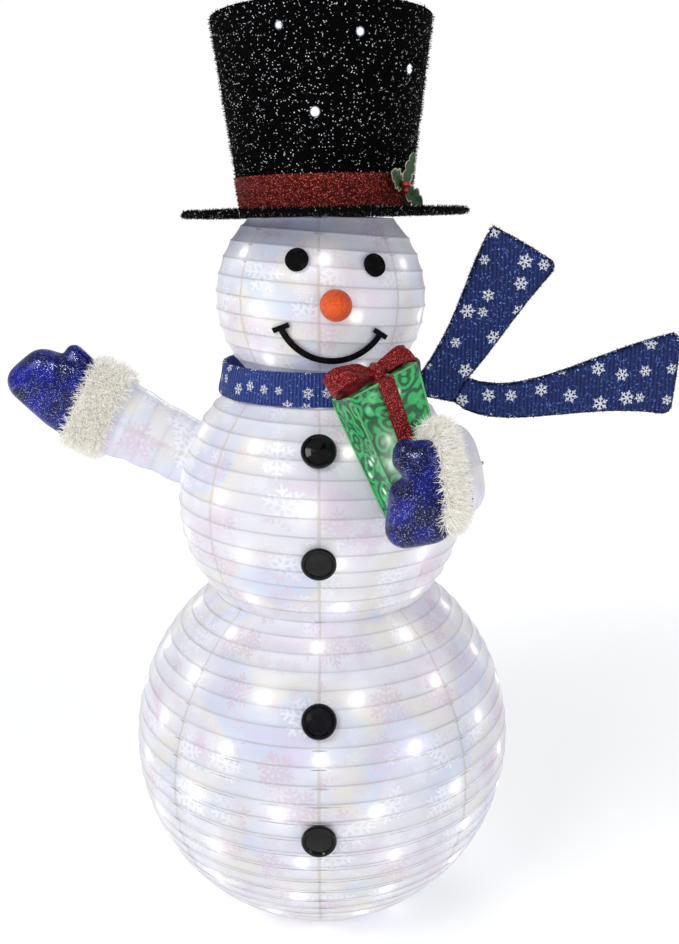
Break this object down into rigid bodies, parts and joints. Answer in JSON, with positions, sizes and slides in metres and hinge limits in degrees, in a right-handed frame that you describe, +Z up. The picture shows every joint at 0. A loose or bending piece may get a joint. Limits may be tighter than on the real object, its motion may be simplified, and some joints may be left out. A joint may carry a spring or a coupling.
{
  "type": "pop-up yard snowman",
  "caption": "Lit pop-up snowman of fabric balls on wire hoops and a telescoping pole, with top hat, scarf, waving mitten and a gift box.",
  "frame": {"origin": "on the ground under the pole, at the middle of the hub plate's underside", "axes": "+Z up the pole, front towards -Y, the waving arm towards -X"},
  "size_m": [1.1161, 0.7263, 1.5263],
  "materials": {
    "wire": "galvanised round wire",
    "pole": "drawn tube",
    "base": "dark powder coat",
    "lock": "moulded",
    "ball_fabric": "translucent white satin with a pearly sheen",
    "light_wire": "clear insulated wire",
    "bulb": "lit warm white caps",
    "black_gloss": "high gloss moulding",
    "nose": "glittered",
    "mouth": "satin stripe",
    "hat_tinsel": "black tinsel cloth with silver flecks",
    "red_glitter": "red glitter cloth",
    "leaf": "dark green with cream edges",
    "berry": "gloss red",
    "scarf": "blue ribbed glitter knit",
    "sleeve": "white satin",
    "cuff": "off-white tinsel fringe",
    "mitten": "blue satin with glitter",
    "gift_film": "green translucent sheet"
  },
  "bodies": {
    "root": {"base_stand": "base", "pole_socket": "base", "pole_lower_tube": "pole", "bottom_rib_wires": "wire", "middle_rib_wires": "wire", "head_rib_wires": "wire", "bottom_fabric": "ball_fabric", "middle_fabric": "ball_fabric", "head_fabric": "ball_fabric", "bottom_light_wire": "light_wire", "bottom_bulbs": "bulb", "middle_light_wire": "light_wire", "middle_bulbs": "bulb", "head_light_wire": "light_wire", "head_bulbs": "bulb"},
    "lower_lock": {"lock_collar_lower": "lock"},
    "pole_middle": {"pole_middle_tube": "pole"},
    "upper_lock": {"lock_collar_upper": "lock"},
    "pole_top": {"pole_upper_tube": "pole", "top_spider": "base", "head_top_ring": "wire", "hat_crown": "hat_tinsel", "hat_brim": "hat_tinsel", "hat_band": "red_glitter", "hat_frame": "wire", "holly_leaves": "leaf", "holly_berries": "berry"},
    "bottom_low_hoop": {"bottom_hoop_low": "wire", "button_4": "black_gloss"},
    "bottom_high_hoop": {"bottom_hoop_high": "wire", "button_3": "black_gloss"},
    "waist": {"waist_ring": "wire"},
    "middle_low_hoop": {"middle_hoop_low": "wire", "button_2": "black_gloss"},
    "shoulders": {"shoulder_hoop": "wire", "shoulder_brackets": "wire"},
    "middle_high_hoop": {"middle_hoop_high": "wire", "button_1": "black_gloss"},
    "neck": {"neck_ring": "wire", "scarf_collar": "scarf", "scarf_tail_upper": "scarf", "scarf_tail_lower": "scarf"},
    "head_low_hoop": {"head_hoop_low": "wire", "mouth": "mouth"},
    "head_mid_hoop": {"head_hoop_mid": "wire", "nose": "nose"},
    "head_high_hoop": {"head_hoop_high": "wire", "eyes": "black_gloss"},
    "waving_arm": {"waving_arm_wire": "wire", "waving_sleeve": "sleeve", "waving_cuff": "cuff", "waving_mitten": "mitten"},
    "gift_arm": {"gift_arm_wire": "wire", "gift_sleeve": "sleeve", "gift_cuff": "cuff", "gift_mitten": "mitten", "gift_box": "gift_film", "gift_ribbon": "red_glitter", "gift_bow": "red_glitter"}
  },
  "joints": [
    {"name": "body_collapse", "type": "slide", "parent": "root", "child": "pole_top", "axis": [0, 0, -1], "range_m": [0, 0.4], "deforming": ["bottom_rib_wires", "middle_rib_wires", "head_rib_wires", "bottom_fabric", "middle_fabric", "head_fabric", "bottom_light_wire", "bottom_bulbs", "middle_light_wire", "middle_bulbs", "head_light_wire", "head_bulbs"]},
    {"name": "pole_middle_slide", "type": "slide", "parent": "root", "child": "pole_middle", "axis": [0, 0, -1], "range_m": [0, 0.2]},
    {"name": "bottom_low_hoop_drop", "type": "slide", "parent": "root", "child": "bottom_low_hoop", "axis": [0, 0, -1], "range_m": [0, 0.09265]},
    {"name": "bottom_high_hoop_drop", "type": "slide", "parent": "root", "child": "bottom_high_hoop", "axis": [0, 0, -1], "range_m": [0, 0.14833]},
    {"name": "waist_drop", "type": "slide", "parent": "root", "child": "waist", "axis": [0, 0, -1], "range_m": [0, 0.19189]},
    {"name": "middle_low_hoop_drop", "type": "slide", "parent": "root", "child": "middle_low_hoop", "axis": [0, 0, -1], "range_m": [0, 0.23573]},
    {"name": "shoulders_drop", "type": "slide", "parent": "root", "child": "shoulders", "axis": [0, 0, -1], "range_m": [0, 0.27341]},
    {"name": "middle_high_hoop_drop", "type": "slide", "parent": "root", "child": "middle_high_hoop", "axis": [0, 0, -1], "range_m": [0, 0.28213]},
    {"name": "neck_drop", "type": "slide", "parent": "root", "child": "neck", "axis": [0, 0, -1], "range_m": [0, 0.31685]},
    {"name": "head_low_hoop_drop", "type": "slide", "parent": "root", "child": "head_low_hoop", "axis": [0, 0, -1], "range_m": [0, 0.34037]},
    {"name": "head_mid_hoop_drop", "type": "slide", "parent": "root", "child": "head_mid_hoop", "axis": [0, 0, -1], "range_m": [0, 0.35833]},
    {"name": "head_high_hoop_drop", "type": "slide", "parent": "root", "child": "head_high_hoop", "axis": [0, 0, -1], "range_m": [0, 0.37629]},
    {"name": "waving_arm_lift", "type": "hinge", "parent": "shoulders", "child": "waving_arm", "pos_m": [-0.24465, -0.0214, 0.83829], "axis": [0, 1, 0], "range_deg": [-15, 15]},
    {"name": "gift_arm_swing", "type": "hinge", "parent": "shoulders", "child": "gift_arm", "pos_m": [0.20117, -0.14086, 0.83829], "axis": [0, 0, 1], "range_deg": [0, 25]},
    {"name": "lower_lock_twist", "type": "hinge", "parent": "root", "child": "lower_lock", "pos_m": [0, 0, 0.46], "axis": [0, 0, 1], "range_deg": [0, 90]},
    {"name": "upper_lock_twist", "type": "hinge", "parent": "pole_middle", "child": "upper_lock", "pos_m": [0, 0, 0.83], "axis": [0, 0, 1], "range_deg": [0, 90]}
  ],
  "couplings": [
    {"joint": "pole_middle_slide", "follows": "body_collapse", "ratio": 0.5},
    {"joint": "bottom_low_hoop_drop", "follows": "body_collapse", "ratio": 0.2316},
    {"joint": "bottom_high_hoop_drop", "follows": "body_collapse", "ratio": 0.3708},
    {"joint": "waist_drop", "follows": "body_collapse", "ratio": 0.4797},
    {"joint": "middle_low_hoop_drop", "follows": "body_collapse", "ratio": 0.5893},
    {"joint": "shoulders_drop", "follows": "body_collapse", "ratio": 0.6835},
    {"joint": "middle_high_hoop_drop", "follows": "body_collapse", "ratio": 0.7053},
    {"joint": "neck_drop", "follows": "body_collapse", "ratio": 0.7921},
    {"joint": "head_low_hoop_drop", "follows": "body_collapse", "ratio": 0.8509},
    {"joint": "head_mid_hoop_drop", "follows": "body_collapse", "ratio": 0.8958},
    {"joint": "head_high_hoop_drop", "follows": "body_collapse", "ratio": 0.9407}
  ]
}
